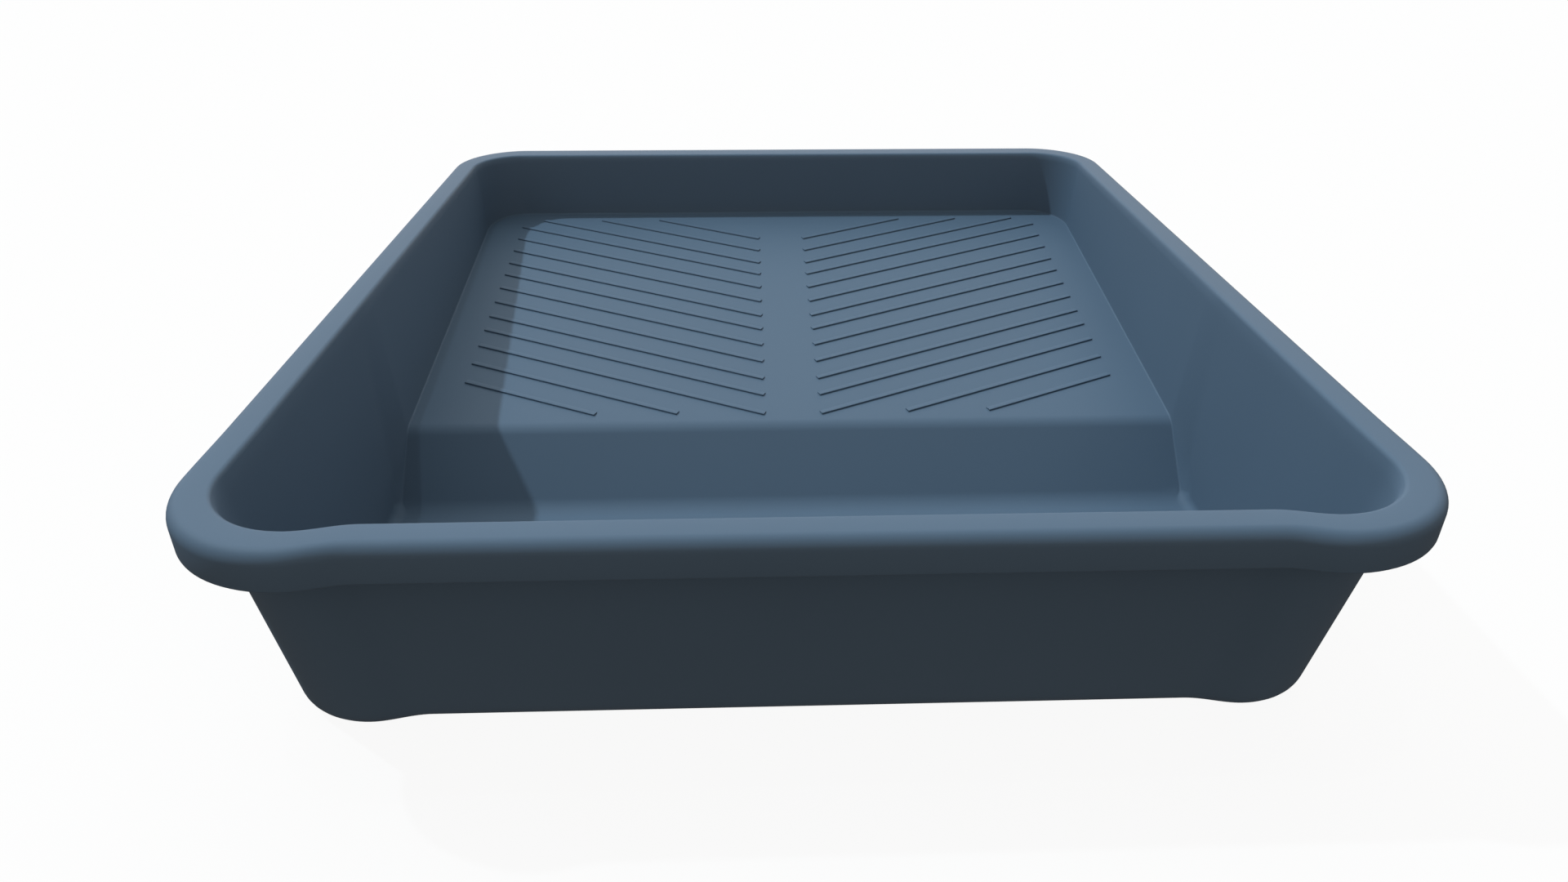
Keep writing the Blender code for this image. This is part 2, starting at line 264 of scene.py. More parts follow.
def shoulder_inset(y, depth):
    """How far the side wall stands inside the line of the well's side wall."""
    end = CREASE_Y - max(depth - CREASE_DEPTH, 0.0)
    start = min(CREASE_Y - SHOULDER_LEAD - SHOULDER_LEAN * depth, end - SHOULDER_SHORTEST)
    share = soft_start((y - start) / (end - start), SHOULDER_SOFT_START)
    share = 1.0 - soft_start(1.0 - share, SHOULDER_SOFT_END)
    return share * (DRAFT_RAMP_SIDE * min(depth, CREASE_DEPTH) - DRAFT_WELL_SIDE * depth)


def wall_point(i, depth, offset):
    """Point i of the drafted wall's outline at that depth, moved outwards by offset."""
    x, y = outline(
        INNER_HALF_WIDTH - DRAFT_WELL_SIDE * depth + offset,
        FRONT_INNER_Y + DRAFT_FRONT * depth - offset,
        REAR_INNER_Y - DRAFT_REAR * depth + offset,
        FRONT_CORNER_RADIUS - FRONT_RADIUS_LOSS * depth + offset,
        REAR_CORNER_RADIUS - REAR_RADIUS_LOSS * depth + offset,
    )[i]
    x -= shoulder_inset(y, depth) * min(1.0, x / (INNER_HALF_WIDTH - REAR_CORNER_RADIUS))
    return Vector((x, y, HEIGHT - depth))


print("the shoulder brings each side", round(shoulder_inset(CREASE_Y, CREASE_DEPTH) / MM, 1), "mm in")

# %% [markdown]
# The wall's foot isn't level: it lies on the well's floor, climbs the step and follows the ramp. Each
# line of the wall is therefore followed down until it meets the floor's profile. Its fillet is a curve
# between the wall and the floor, so the same few lines work on the flat, on the step and in the corners.

# %% Rings of the wall
WALL_LEVELS = 14
FOOT_STEPS = 9
SEARCH_ROUNDS = 25


def wall_foot(i, below):
    """Where the wall's line i would meet the floor without a fillet, and that point's depth."""
    depth = HEIGHT - WALL + below
    for _ in range(SEARCH_ROUNDS):
        depth = HEIGHT - floor_z(wall_point(i, depth, below).y, below)
    return wall_point(i, depth, below), depth


def foot_radius(foot, below):
    """The fillet at the wall's foot shrinks where the well's floor turns up into the step."""
    share = smooth((foot.z - WALL + below) / FILLET_CHANGE)
    return WELL_FOOT_FILLET + (RAMP_FOOT_FILLET - WELL_FOOT_FILLET) * share + below


def wall_rings(below):
    """Right-half rings of one wall face, from its top edge down to the floor's edge."""
    top = RIM_INNER_RADIUS if below == 0.0 else WALL
    feet = [wall_foot(i, below) for i in range(HALF_COUNT)]
    rings = [[wall_point(i, top, below) for i in range(HALF_COUNT)]]
    for k in range(1, WALL_LEVELS + 1):
        rings.append([
            wall_point(i, top + (depth - foot_radius(foot, below) - top) * k / WALL_LEVELS, below)
            for i, (foot, depth) in enumerate(feet)
        ])
    edges = []
    for i, (foot, _) in enumerate(feet):
        before = feet[max(i - 1, 0)][0]
        after = feet[min(i + 1, HALF_COUNT - 1)][0]
        along = Vector((after.x - before.x, after.y - before.y, 0)).normalized()
        edge = foot + Vector((-along.y, along.x, 0)) * foot_radius(foot, below)
        edge.z = floor_z(edge.y, below)
        edges.append(edge)
    for k in range(1, FOOT_STEPS + 1):
        t = k / FOOT_STEPS
        rings.append([
            rings[WALL_LEVELS][i] * (1 - t) ** 2 + feet[i][0] * 2 * t * (1 - t) + edges[i] * t * t
            for i in range(HALF_COUNT)
        ])
    return rings


print("inside wall:", len(wall_rings(0.0)), "rings")

# %% [markdown]
# The rim is a level flange. Its inner edge is a tight round and its outer edge a wide one, which is kind
# to the hand and lets a lid slip on. The lip hangs from it and makes the thin flange stiff. The lip's
# free edge is broken all round, because a moulding with a sharp edge there would cut.

# %% Rings of the rim
INNER_EDGE_STEPS, OUTER_EDGE_STEPS, LIP_EDGE_STEPS = 8, 9, 3


def rim_ring(offset, depth, rear_extra):
    """Outline at a constant offset from the inner wall's top edge, as right-half points."""
    flat = outline(
        INNER_HALF_WIDTH + offset,
        FRONT_INNER_Y - offset,
        REAR_INNER_Y + offset + rear_extra,
        FRONT_CORNER_RADIUS + offset,
        REAR_CORNER_RADIUS + offset,
    )
    return [Vector((x, y, HEIGHT - depth)) for x, y in flat]


def quarter(radius, steps):
    """(distance out, distance down) along a quarter round, from its level end to its upright end."""
    angles = [math.pi / 2 * k / steps for k in range(steps + 1)]
    return [(radius * math.sin(a), radius * (1 - math.cos(a))) for a in angles]


def rim_rings():
    """Rings from the inner edge over the flange, down the lip, round its free edge and up behind it."""
    extra = RIM_REAR - RIM_WIDTH
    lip_edge = quarter(LIP_EDGE_RADIUS, LIP_EDGE_STEPS)
    rings = []
    for out, down in reversed(quarter(RIM_INNER_RADIUS, INNER_EDGE_STEPS)[:-1]):
        rings.append(rim_ring(RIM_INNER_RADIUS - out, down, 0.0))
    for out, down in quarter(RIM_OUTER_RADIUS, OUTER_EDGE_STEPS):
        rings.append(rim_ring(RIM_WIDTH - RIM_OUTER_RADIUS + out, down, extra))
    for out, down in reversed(lip_edge):
        rings.append(rim_ring(RIM_WIDTH - LIP_EDGE_RADIUS + out, LIP_DEPTH - down, extra))
    for out, down in lip_edge:
        rings.append(rim_ring(RIM_WIDTH - LIP_WALL + LIP_EDGE_RADIUS - out, LIP_DEPTH - down, extra))
    for out, down in reversed(lip_edge):
        rings.append(rim_ring(RIM_WIDTH - LIP_WALL - LIP_EDGE_RADIUS + out, WALL + down, extra))
    return rings


print("rim:", len(rim_rings()), "rings")

# %% [markdown]
# ## Joining the skin
#
# Each pair of rings is joined by quads. The floor inside the last ring is filled with a grid that a
# Delaunay triangulation ties to the ring, and each point takes its height from the profile. Both faces
# of the floor are made this way, so the shell is one closed body with a wall of even thickness.

# %% Join rings and fill the floors
GRID = 6 * MM
EDGE_CLEARANCE = 3 * MM
WELD_DISTANCE = 1e-7
SHARP_ANGLE = math.radians(40)


def mirrored(half):
    """A closed ring from its right half."""
    return half + [Vector((-p.x, p.y, p.z)) for p in reversed(half[1:-1])]


def grid_rows(below):
    """Y of the floor's rows of points: on every bend of the profile, and evenly between them."""
    rows = [p.x for p in PROFILES[below][1:-1]]
    y = -LENGTH / 2
    while y < LENGTH / 2:
        if not rows[0] - GRID / 2 < y < rows[2 * PROFILE_STEPS + 1] + GRID / 2:
            rows.append(y)
        y += GRID
    return rows


def fill_floor(mesh, ring, below, faces_up):
    """Closes a ring with triangles that follow the floor's profile."""
    flat_ring = [v.co.to_2d() for v in ring]
    right = flat_ring[:len(flat_ring) // 2 + 1]
    front, rear = right[0].y + EDGE_CLEARANCE, right[-1].y - EDGE_CLEARANCE
    points = list(flat_ring)
    for y in grid_rows(below):
        crossings = [
            a.x + (b.x - a.x) * (y - a.y) / (b.y - a.y)
            for a, b in zip(right, right[1:])
            if min(a.y, b.y) <= y < max(a.y, b.y)
        ]
        reach = max(crossings, default=0.0) - EDGE_CLEARANCE
        inner = min(crossings) + EDGE_CLEARANCE if len(crossings) > 1 else 0.0
        count = int(reach / GRID)
        for k in range(-count, count + 1):
            if abs(k * GRID) >= inner and front < y < rear:
                points.append(Vector((k * GRID, y)))
    edges = [(i, (i + 1) % len(ring)) for i in range(len(ring))]
    flat, _, triangles, origins, _, _ = delaunay_2d_cdt(points, edges, [], 1, WELD_DISTANCE)
    made = []
    for position, sources in zip(flat, origins):
        if sources and sources[0] < len(ring):
            made.append(ring[sources[0]])
        else:
            made.append(mesh.verts.new((position.x, position.y, floor_z(position.y, below))))
    for triangle in triangles:
        face = mesh.faces.new([made[i] for i in triangle])
        face.normal_update()
        if (face.normal.z > 0) != faces_up:
            face.normal_flip()


def finish_mesh(name, mesh):
    """Turns a bmesh into a smooth-shaded object at the origin."""
    bmesh.ops.recalc_face_normals(mesh, faces=mesh.faces)
    data = bpy.data.meshes.new(name)
    mesh.to_mesh(data)
    mesh.free()
    data.shade_smooth()
    data.set_sharp_from_angle(angle=SHARP_ANGLE)
    made = bpy.data.objects.new(name, data)
    bpy.context.scene.collection.objects.link(made)
    print(name + ":", len(data.polygons), "faces")
    return made


print("floor: rows of points", round(GRID / MM), "mm apart,", len(grid_rows(0.0)), "rows")

# %% [markdown]
# ## Gate mark
#
# The melt enters through one point under the ramp. When the sprue is cut off, it leaves a short stub in
# a shallow ring. Both are turned from one profile, and their roots sink into the ramp's underside.

# %% Gate mark
GATE_Y = 34 * MM
GATE_PROFILE = ((0.0, 0.9), (0.9, 0.8), (1.2, 0.5), (1.3, -0.5), (3.3, -0.5), (3.4, 0.25), (3.7, 0.45),
                (4.1, 0.45), (4.4, 0.25), (4.5, -0.5))
GATE_SIDES = 48


def add_gate_mark(mesh):
    """Turns the profile (radius, height) in mm about an axis square to the ramp's underside."""
    down = Vector((0.0, math.sin(RAMP_SLOPE), -math.cos(RAMP_SLOPE)))
    uphill = Vector((0.0, math.cos(RAMP_SLOPE), math.sin(RAMP_SLOPE)))
    centre = Vector((0.0, GATE_Y, floor_z(GATE_Y, WALL)))
    rings = []
    for radius, height in GATE_PROFILE[1:]:
        ring = []
        for k in range(GATE_SIDES):
            a = 2 * math.pi * k / GATE_SIDES
            outwards = Vector((math.cos(a), 0.0, 0.0)) + uphill * math.sin(a)
            ring.append(mesh.verts.new(centre + (outwards * radius + down * height) * MM))
        rings.append(ring)
    tip = mesh.verts.new(centre + down * (GATE_PROFILE[0][1] * MM))
    for k in range(GATE_SIDES):
        j = (k + 1) % GATE_SIDES
        mesh.faces.new((tip, rings[0][k], rings[0][j]))
        for inner, outer in zip(rings, rings[1:]):
            mesh.faces.new((inner[k], outer[k], outer[j], inner[j]))
    mesh.faces.new(list(reversed(rings[-1])))


print("gate mark:", len(GATE_PROFILE), "points turned in", GATE_SIDES, "sides")

# %% [markdown]
# ## The shell
#
# The stack now runs from the floor's upper edge, up the inside, over the rim and down the outside to the
# floor's lower edge. Closing both ends with the floor makes one solid skin of even wall, as a moulding is.

# %% Make the shell
def make_shell():
    mesh = bmesh.new()
    halves = list(reversed(wall_rings(0.0))) + rim_rings() + wall_rings(WALL)
    rings = [[mesh.verts.new(p) for p in mirrored(half)] for half in halves]
    count = len(rings[0])
    for upper, lower in zip(rings, rings[1:]):
        for i in range(count):
            j = (i + 1) % count
            mesh.faces.new((upper[i], lower[i], lower[j], upper[j]))
    fill_floor(mesh, rings[0], 0.0, True)
    fill_floor(mesh, rings[-1], WALL, False)
    add_gate_mark(mesh)
    return finish_mesh("tray_shell_moulding", mesh)


shell = make_shell()

# %% [markdown]
# ## Ribs on the ramp
#
# The ribs roll surplus paint off the roller. They are square-cut bars, 1.4 mm high, with softened upper
# edges. What repeats is best made by Geometry Nodes: a mesh of bare edges holds one line for each rib,
# and the tree sweeps a rib's section along every line at once.

# %% Rib lines
RIB_ROWS = 15
RIB_ANGLE = math.radians(23.8)
RIB_WIDTH = 2.3 * MM
RIB_HEIGHT = 1.4 * MM
RIB_PITCH = 12.45 * MM
RIB_SHORT_PITCH = 11.2 * MM
RIB_FRONT_PITCH = 13.4 * MM
RIB_REAR_START = 147.6 * MM
RIB_INNER_X = 10.4 * MM
RIB_OUTER_X = 125.1 * MM
RIB_FIELD_FRONT = 7.4 * MM
RIB_FIELD_REAR = 173.6 * MM
RIB_ROOT = 0.5 * MM
RIB_EDGE_RADIUS = 0.15 * MM
RIB_EDGE_STEPS = 4


def on_ramp(x, along, above):
    """A point of the ramp: along is measured up the slope from the crease, above is square to it."""
    y = CREASE_Y + along * math.cos(RAMP_SLOPE) - above * math.sin(RAMP_SLOPE)
    z = HEIGHT - CREASE_DEPTH + along * math.sin(RAMP_SLOPE) + above * math.cos(RAMP_SLOPE)
    return Vector((x, y, z))


def rib_pitch(row):
    """Distance from that row, counted from the rear, to the next one in front of it."""
    if row >= RIB_ROWS - 2:
        return RIB_FRONT_PITCH
    return RIB_SHORT_PITCH if row % 4 == 3 else RIB_PITCH


def rib_lines():
    """Inner and outer end of each rib's centre line, both hands, from the rear to the front."""
    rise = math.tan(RIB_ANGLE)
    start = RIB_REAR_START
    lines = []
    for row in range(1, RIB_ROWS + 1):
        inner_x = RIB_INNER_X if start > 0 else (RIB_FIELD_FRONT - start) / rise
        outer_x = min(RIB_OUTER_X, (RIB_FIELD_REAR - start) / rise)
        for side in (-1, 1):
            lines.append([on_ramp(side * x, start + x * rise, 0.0) for x in (inner_x, outer_x)])
        start -= rib_pitch(row)
    return lines


line_mesh = bpy.data.meshes.new("rib_lines")
line_points = [p for line in rib_lines() for p in line]
line_mesh.from_pydata(line_points, [(i, i + 1) for i in range(0, len(line_points), 2)], [])
print("rib lines:", len(line_mesh.edges))

# %% [markdown]
# A tree is built from small nodes, here and in the materials below. `add_node` adds one with its
# settings and links, so that a tree reads as a list of steps.

# %% Helper that adds a node
def add_node(tree, kind, settings=None, **links):
    """Adds a node; links maps an input's name, with _ for a space, to a value or a node's output."""
    node = tree.nodes.new(kind)
    for key, value in (settings or {}).items():
        setattr(node, key, value)
    for key, value in links.items():
        numbered = key[0] == "i" and key[1:].isdigit()
        socket = node.inputs[int(key[1:]) if numbered else key.replace("_", " ")]
        if isinstance(value, bpy.types.NodeSocket):
            tree.links.new(value, socket)
        else:
            socket.default_value = value
    return node


print("helper ready: add_node")

# %% [markdown]
# ## Polypropylene
#
# **Material: injection-moulded polypropylene, satin.** The mould is spark-eroded to a fine matt grain,
# so the plastic has a soft, wide sheen and no sharp reflection. Its colour is very even. What breaks it
# up is slight: clouds of gloss where the melt cooled at different speeds, and a fine grain. The grain's
# pits trap part of the light that a smooth surface would mirror, so the specular level is set low.

# %% Colour and plastic
WHITE = "FFFFFF"
PLASTIC_HEX = "4B5F72"
PLASTIC_IOR = 1.49
PLASTIC_SPECULAR = 0.1
PLASTIC_ROUGHNESS = 0.58
CLOUD_SIZE = 60 * MM
CLOUD_TINT = 0.04
CLOUD_GLOSS = 0.05
GRAIN_SIZE = 0.5 * MM
GRAIN_DEPTH = 0.05 * MM
GRAIN_STRENGTH = 0.12


def linear(hex_colour):
    """An sRGB hex colour as a linear RGBA tuple."""
    channels = [int(hex_colour[i:i + 2], 16) / 255 for i in (0, 2, 4)]
    return (*[c / 12.92 if c <= 0.04045 else ((c + 0.055) / 1.055) ** 2.4 for c in channels], 1.0)


def moulded_polypropylene(name, hex_colour, roughness):
    material = bpy.data.materials.new(name)
    material.use_nodes = True
    tree = material.node_tree
    shader = tree.nodes["Principled BSDF"]
    shader.inputs["IOR"].default_value = PLASTIC_IOR
    shader.inputs["Specular IOR Level"].default_value = PLASTIC_SPECULAR
    coordinates = add_node(tree, "ShaderNodeTexCoord").outputs["Object"]
    clouds = add_node(tree, "ShaderNodeTexNoise", Vector=coordinates, Scale=1 / CLOUD_SIZE, Detail=3.0)
    # Clouds of tint: the pigment isn't mixed quite evenly, which keeps a wide wall from looking painted.
    tint = add_node(tree, "ShaderNodeMix", {"data_type": "RGBA"}, i0=clouds.outputs["Fac"])
    for socket, share in ((6, 1 - CLOUD_TINT), (7, 1 + CLOUD_TINT)):
        tint.inputs[socket].default_value = (*[c * share for c in linear(hex_colour)[:3]], 1.0)
    tree.links.new(tint.outputs[2], shader.inputs["Base Color"])
    # Clouds of gloss: where the melt cooled slowly the sheen is a little wider and duller.
    gloss = add_node(tree, "ShaderNodeMapRange", Value=clouds.outputs["Fac"],
                     To_Min=roughness - CLOUD_GLOSS, To_Max=roughness + CLOUD_GLOSS)
    tree.links.new(gloss.outputs["Result"], shader.inputs["Roughness"])
    # Grain of the mould: it breaks up the highlights on the rim and the ribs when seen close.
    grain = add_node(tree, "ShaderNodeTexNoise", Vector=coordinates, Scale=1 / GRAIN_SIZE, Detail=2.0)
    bump = add_node(tree, "ShaderNodeBump", Height=grain.outputs["Fac"],
                    Strength=GRAIN_STRENGTH, Distance=GRAIN_DEPTH)
    tree.links.new(bump.outputs["Normal"], shader.inputs["Normal"])
    return material


plastic = moulded_polypropylene("injection_moulded_polypropylene", PLASTIC_HEX, PLASTIC_ROUGHNESS)
shell.data.materials.append(plastic)
print("material:", plastic.name, "with", len(plastic.node_tree.nodes), "nodes")

# %% [markdown]
# ## Sweeping the ribs
#
# A rib is cut into the mould with one pass of a square cutter, so its section is the same from end to
# end. The tree draws that section once, rounds its corners, lifts it so that its root sinks into the
# ramp, and sweeps it along all lines. Thirty ribs therefore follow one drawing, and stay alike.

# %% Sweep the ribs
def rib_tree():
    """The tree that turns bare edges into ribs; its inputs are the rib's sizes and its plastic."""
    tree = bpy.data.node_groups.new("ribs_along_lines", "GeometryNodeTree")
    face = tree.interface
    face.new_socket("Geometry", in_out="INPUT", socket_type="NodeSocketGeometry")
    sizes = {"Width": RIB_WIDTH, "Height": RIB_HEIGHT, "Root": RIB_ROOT, "Edge radius": RIB_EDGE_RADIUS}
    for label, value in sizes.items():
        socket = face.new_socket(label, in_out="INPUT", socket_type="NodeSocketFloat")
        socket.default_value = value
    face.new_socket("Plastic", in_out="INPUT", socket_type="NodeSocketMaterial")
    face.new_socket("Geometry", in_out="OUTPUT", socket_type="NodeSocketGeometry")
    given = tree.nodes.new("NodeGroupInput").outputs
    tall = add_node(tree, "ShaderNodeMath", {"operation": "ADD"}, i0=given["Height"], i1=given["Root"])
    section = add_node(tree, "GeometryNodeCurvePrimitiveQuadrilateral",
                       Width=given["Width"], Height=tall.outputs[0])
    rounded = add_node(tree, "GeometryNodeFilletCurve", {"mode": "POLY"}, Curve=section.outputs["Curve"],
                       Radius=given["Edge radius"], Count=RIB_EDGE_STEPS)
    lift = add_node(tree, "ShaderNodeMath", {"operation": "SUBTRACT"}, i0=given["Height"], i1=given["Root"])
    half = add_node(tree, "ShaderNodeMath", {"operation": "MULTIPLY"}, i0=lift.outputs[0], i1=0.5)
    shift = add_node(tree, "ShaderNodeCombineXYZ", Y=half.outputs[0])
    placed = add_node(tree, "GeometryNodeTransform", Geometry=rounded.outputs["Curve"],
                      Translation=shift.outputs[0])
    lines = add_node(tree, "GeometryNodeMeshToCurve", Mesh=given["Geometry"])
    upright = add_node(tree, "GeometryNodeSetCurveNormal", {"mode": "Z_UP"}, Curve=lines.outputs["Curve"])
    swept = add_node(tree, "GeometryNodeCurveToMesh", Curve=upright.outputs["Curve"],
                     Profile_Curve=placed.outputs["Geometry"])
    swept.inputs["Fill Caps"].default_value = True
    real = add_node(tree, "GeometryNodeRealizeInstances", Geometry=swept.outputs["Mesh"])
    coated = add_node(tree, "GeometryNodeSetMaterial", Geometry=real.outputs["Geometry"],
                      Material=given["Plastic"])
    out = tree.nodes.new("NodeGroupOutput")
    tree.links.new(coated.outputs["Geometry"], out.inputs["Geometry"])
    return tree


def from_nodes(name, source_mesh, tree, inputs):
    """Runs a tree on a mesh and keeps the result as a plain mesh object at the origin."""
    source = bpy.data.objects.new(name + "_source", source_mesh)
    bpy.context.scene.collection.objects.link(source)
    modifier = source.modifiers.new("nodes", "NODES")
    modifier.node_group = tree
    for item in tree.interface.items_tree:
        if item.in_out == "INPUT" and item.name in inputs:
            modifier[item.identifier] = inputs[item.name]
    evaluated = source.evaluated_get(bpy.context.evaluated_depsgraph_get())
    data = bpy.data.meshes.new_from_object(evaluated)
    data.name = name
    bpy.data.objects.remove(source)
    made = bpy.data.objects.new(name, data)
    bpy.context.scene.collection.objects.link(made)
    print(name + ":", len(data.polygons), "faces")
    return made


ribs = from_nodes("ramp_ribs", line_mesh, rib_tree(), {"Plastic": plastic})
ribs.data.set_sharp_from_angle(angle=SHARP_ANGLE)

# %% [markdown]
# ## Rear legs
#
# Two posts hold up the high end of the ramp. Each is a C in section and open to the front: stiff for its
# weight, and still of even wall. The post grows a little towards its top for draft, its foot's edges are
# broken, and a small root fillet joins it to the ramp's underside.

# %% Rear legs
LEG_INNER_X = 84 * MM
LEG_OUTER_X = 118 * MM
LEG_FRONT_Y = 127 * MM
LEG_REAR_Y = 145 * MM
LEG_WALL = 2.4 * MM
LEG_TAPER = 2.5 * MM
LEG_ROOT_RADIUS = 2 * MM
LEG_FOOT_RADIUS = 0.5 * MM
LEG_SINK = 0.6 * MM
LEG_OUTER_ROUND, LEG_INNER_ROUND = 1.6 * MM, 0.6 * MM
LEG_ROUND_STEPS = 5
LEG_FOOT_STEPS, LEG_ROOT_STEPS = 4, 6
LEG_LEVELS = (0.33, 0.66)


def leg_section(taper, grow):
    """The C's rounded outline with its walls moved out by grow on both faces."""
    x0, x1 = LEG_INNER_X + taper - grow, LEG_OUTER_X - taper + grow
    y0, y1 = LEG_FRONT_Y + taper - grow, LEG_REAR_Y + grow
    wall = LEG_WALL + 2 * grow
    corners = [
        Vector(c) for c in (
            (x0, y0), (x0 + wall, y0), (x0 + wall, y1 - wall), (x1 - wall, y1 - wall),
            (x1 - wall, y0), (x1, y0), (x1, y1), (x0, y1),
        )
    ]
    points = []
    for i, corner in enumerate(corners):
        before = (corners[i - 1] - corner).normalized()
        after = (corners[(i + 1) % len(corners)] - corner).normalized()
        at_rear = i >= len(corners) - 2
        radius = LEG_OUTER_ROUND if at_rear else LEG_INNER_ROUND
        points += fillet(corner, before, after, radius, LEG_ROUND_STEPS)
    return points


def make_leg(name, side):
    """Lofts the section from the foot's broken edge, up the tapered post, to the root fillet."""
    levels = []
    for out, up in quarter(LEG_FOOT_RADIUS, LEG_FOOT_STEPS):
        levels.append((LEG_TAPER, out - LEG_FOOT_RADIUS, "foot", up))
    for share in LEG_LEVELS:
        levels.append((LEG_TAPER * (1 - share), 0.0, "share", share))
    for out, _ in quarter(LEG_ROOT_RADIUS, LEG_ROOT_STEPS):
        grow = LEG_ROOT_RADIUS - math.sqrt(max(LEG_ROOT_RADIUS**2 - out**2, 0.0))
        levels.append((0.0, grow, "top", out - LEG_ROOT_RADIUS))
    levels.append((0.0, LEG_ROOT_RADIUS, "top", LEG_SINK))
    mesh = bmesh.new()
    rings = []
    for taper, grow, kind, value in levels:
        ring = []
        for x, y in leg_section(taper, grow):
            top = floor_z(y, WALL)
            z = {"foot": value, "share": value * top, "top": top + value}[kind]
            ring.append(mesh.verts.new((side * x, y, z)))
        rings.append(ring)
    count = len(rings[0])
    for lower, upper in zip(rings, rings[1:]):
        for i in range(count):
            j = (i + 1) % count
            mesh.faces.new((lower[i], lower[j], upper[j], upper[i]))
    mesh.faces.new(rings[0])
    mesh.faces.new(rings[-1])
    return finish_mesh(name, mesh)


legs = {hand: make_leg(f"rear_leg_{hand}_moulding", side) for hand, side in (("left", -1), ("right", 1))}
for leg in legs.values():
    leg.data.materials.append(plastic)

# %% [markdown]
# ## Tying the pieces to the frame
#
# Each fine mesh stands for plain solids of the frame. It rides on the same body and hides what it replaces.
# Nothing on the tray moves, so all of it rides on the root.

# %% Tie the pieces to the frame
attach(shell, "root")
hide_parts("tray_shell")
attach(ribs, "root")
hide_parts(*[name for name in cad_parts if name.startswith("ramp_rib")])
for hand, leg in legs.items():
    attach(leg, "root")
    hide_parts(f"rear_leg_{hand}")
print("tied:", 2 + len(legs), "pieces to the root")

# %% [markdown]
# ## Camera
#
# The tray is seen from above its front, a little left of its middle, about as a person sees it who is
# about to dip the roller. The wide lens is close, so the far rim looks much shorter than the near one.

# %% Camera
CAMERA_SPOT = Vector((-16.1, -364.95, 209.8)) * MM
CAMERA_LENS, CAMERA_SENSOR = 24.44, 36.0
CAMERA_TURN, CAMERA_DIP, CAMERA_ROLL = (math.radians(a) for a in (-2.1, 29.32, 0.24))
camera_data = bpy.data.cameras.new("camera")
camera_data.lens = CAMERA_LENS
camera_data.sensor_width = CAMERA_SENSOR
camera = bpy.data.objects.new("camera", camera_data)
camera.matrix_world = (
    Matrix.Translation(CAMERA_SPOT)
    @ Matrix.Rotation(CAMERA_TURN, 4, "Z")
    @ Matrix.Rotation(math.pi / 2 - CAMERA_DIP, 4, "X")
    @ Matrix.Rotation(CAMERA_ROLL, 4, "Z")
)
bpy.context.scene.collection.objects.link(camera)
bpy.context.scene.camera = camera
print("camera:", round(camera_data.lens, 1), "mm lens,", round(math.degrees(CAMERA_DIP), 1), "degrees down")

# %% [markdown]
# ## Floor
#
# **Material: opal acrylic over a light table.** A product on a light table has nearly no shadow: the
# sheet glows by itself and is only a little brighter where the lamps reach it. The floor is shown to the
# camera alone, so that it doesn't fill the dark sides and the underside with light.

# %% Floor
FLOOR_HALF = 20.0
FLOOR_GLOW = 0.93
OPAL_HEX = "393939"


def opal_acrylic(name):
    material = bpy.data.materials.new(name)
    material.use_nodes = True
    shader = material.node_tree.nodes["Principled BSDF"]
    # Dark for the lamps: the sheet lets most of their light through, so shadows on it stay faint.
    shader.inputs["Base Color"].default_value = linear(OPAL_HEX)
    shader.inputs["Roughness"].default_value = 1.0
    shader.inputs["Specular IOR Level"].default_value = 0.0
    # Its own even glow gives the white ground.
    shader.inputs["Emission Color"].default_value = linear(WHITE)
    shader.inputs["Emission Strength"].default_value = FLOOR_GLOW
    return material


floor_data = bpy.data.meshes.new("studio_floor")
floor_corners = [(FLOOR_HALF * x, FLOOR_HALF * y, 0.0) for x, y in ((-1, -1), (1, -1), (1, 1), (-1, 1))]
floor_data.from_pydata(floor_corners, [], [(0, 1, 2, 3)])
floor_data.materials.append(opal_acrylic("opal_acrylic_light_table"))
floor = bpy.data.objects.new("studio_floor", floor_data)
bpy.context.scene.collection.objects.link(floor)
floor.visible_diffuse = False
floor.visible_glossy = False
print("floor:", 2 * FLOOR_HALF, "m wide")

# %% [markdown]
# ## Lamps
#
# Three lamps far away, a little cooler than white. The key stands at the left and somewhat behind, and
# is small, so the left rim draws a crisp edge on the ramp and the step. A broad softbox high behind the
# tray lifts all that is level and leaves the step darker. A weak small lamp overhead gives the fine
# second edge beside the left wall.

# %% Lamps
LAMP_TINT = "E8F7FF"


def lamp(name, towards, strength, width):
    """A sun-like lamp; towards points from the tray to it and width is its apparent size in degrees."""
    data = bpy.data.lights.new(name, "SUN")
    data.color = linear(LAMP_TINT)[:3]
    data.energy = strength
    data.angle = math.radians(width)
    made = bpy.data.objects.new(name, data)
    made.rotation_mode = "QUATERNION"
    made.rotation_quaternion = Vector(towards).to_track_quat("Z", "Y")
    bpy.context.scene.collection.objects.link(made)


lamp("key", (-0.72, 0.3, 1.0), 2.3, 1.5)
lamp("softbox", (0.0, 0.6, 1.0), 1.2, 70)
lamp("top_spot", (-0.16, 0.0, 1.0), 0.25, 1)

# %% [markdown]
# ## Surroundings
#
# Large reflectors stand behind the tray and, weaker, in front of it; the sides of the studio are dim.
# They are a little warmer than white, so that shade isn't bluer than the plastic itself. The strength is
# a function of the direction: a share for each of left-right and front-rear above the horizon, and a
# weak even bounce below it. The camera sees plain white instead.

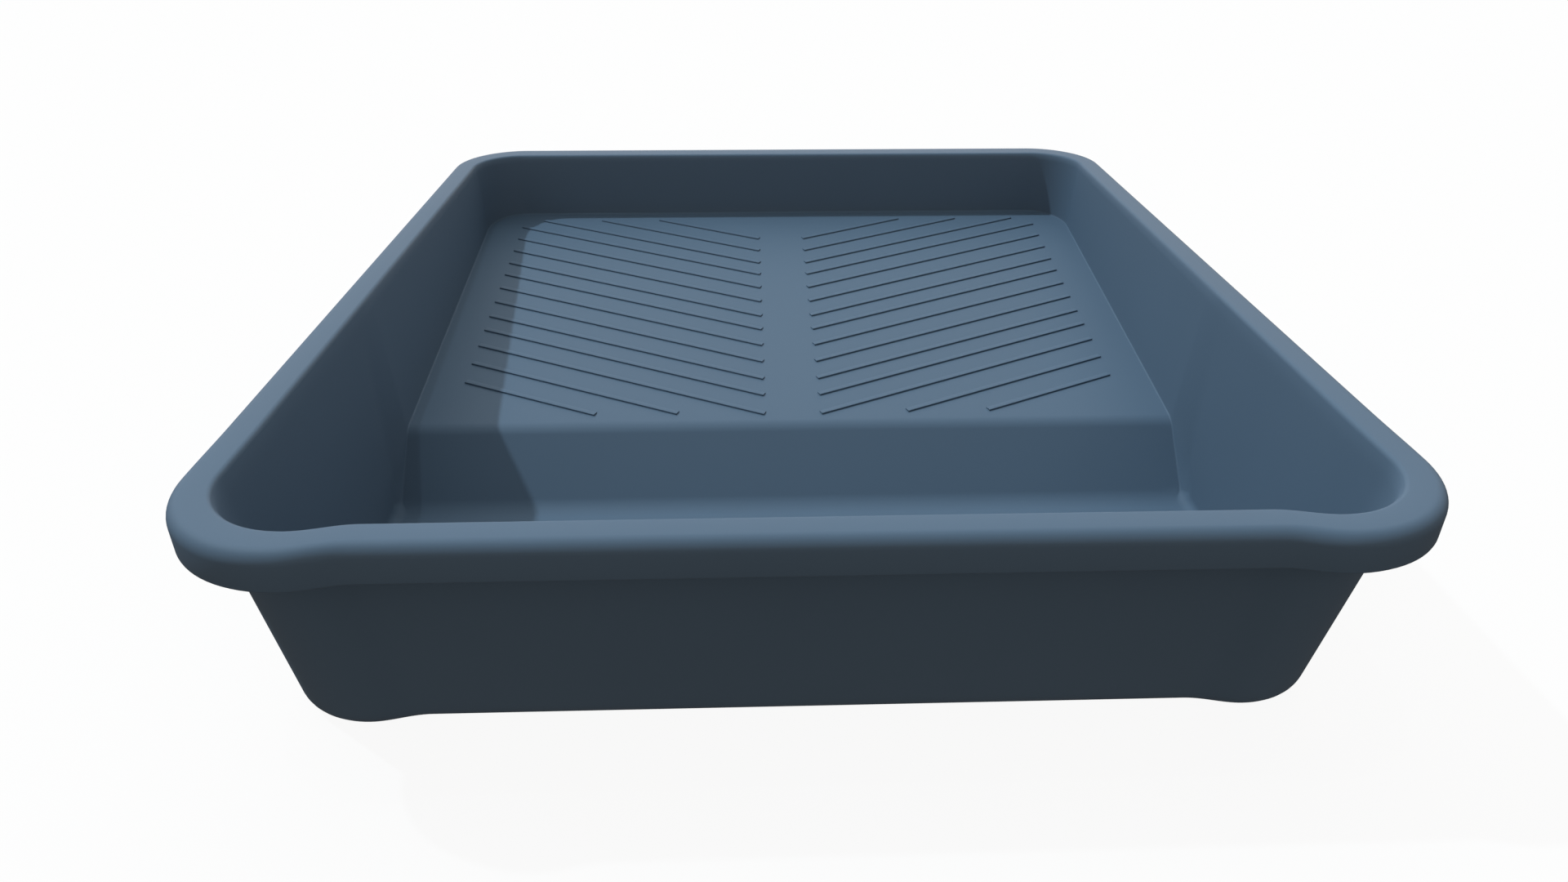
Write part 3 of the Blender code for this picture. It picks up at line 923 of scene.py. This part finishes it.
# %% Surroundings
REAR_GLOW, FRONT_GLOW, SIDE_GLOW = 1.8, 0.85, 0.25
FLOOR_BOUNCE = 0.15
SURROUNDINGS_TINT = "FFF0E4"
HORIZON_WIDTH = 0.02
BACKDROP = 0.97
world = bpy.data.worlds.new("studio")
bpy.context.scene.world = world
world.use_nodes = True
sky = world.node_tree
direction = add_node(sky, "ShaderNodeTexCoord").outputs["Generated"]
axis = add_node(sky, "ShaderNodeSeparateXYZ", Vector=direction).outputs
both_ends = add_node(sky, "ShaderNodeMath", {"operation": "ABSOLUTE"}, i0=axis["Y"]).outputs[0]
both_sides = add_node(sky, "ShaderNodeMath", {"operation": "ABSOLUTE"}, i0=axis["X"]).outputs[0]
sides = add_node(sky, "ShaderNodeMath", {"operation": "MULTIPLY"}, i0=both_sides, i1=SIDE_GLOW).outputs[0]
even = add_node(sky, "ShaderNodeMath", {"operation": "MULTIPLY_ADD"},
                i0=both_ends, i1=(REAR_GLOW + FRONT_GLOW) / 2, i2=sides).outputs[0]
glow = add_node(sky, "ShaderNodeMath", {"operation": "MULTIPLY_ADD"},
                i0=axis["Y"], i1=(REAR_GLOW - FRONT_GLOW) / 2, i2=even).outputs[0]
above = add_node(sky, "ShaderNodeMapRange", Value=axis["Z"],
                 From_Min=-HORIZON_WIDTH, From_Max=HORIZON_WIDTH)
light = add_node(sky, "ShaderNodeMix", {"data_type": "FLOAT"},
                 i0=above.outputs["Result"], i2=FLOOR_BOUNCE, i3=glow).outputs[0]
seen = add_node(sky, "ShaderNodeLightPath").outputs["Is Camera Ray"]
shown = add_node(sky, "ShaderNodeMix", {"data_type": "FLOAT"}, i0=seen, i2=light, i3=BACKDROP).outputs[0]
background = sky.nodes["Background"]
tint = add_node(sky, "ShaderNodeMix", {"data_type": "RGBA"}, i0=seen)
tint.inputs[6].default_value = linear(SURROUNDINGS_TINT)
tint.inputs[7].default_value = linear(WHITE)
sky.links.new(tint.outputs[2], background.inputs["Color"])
sky.links.new(shown, background.inputs["Strength"])
bpy.context.scene.view_settings.view_transform = "Standard"
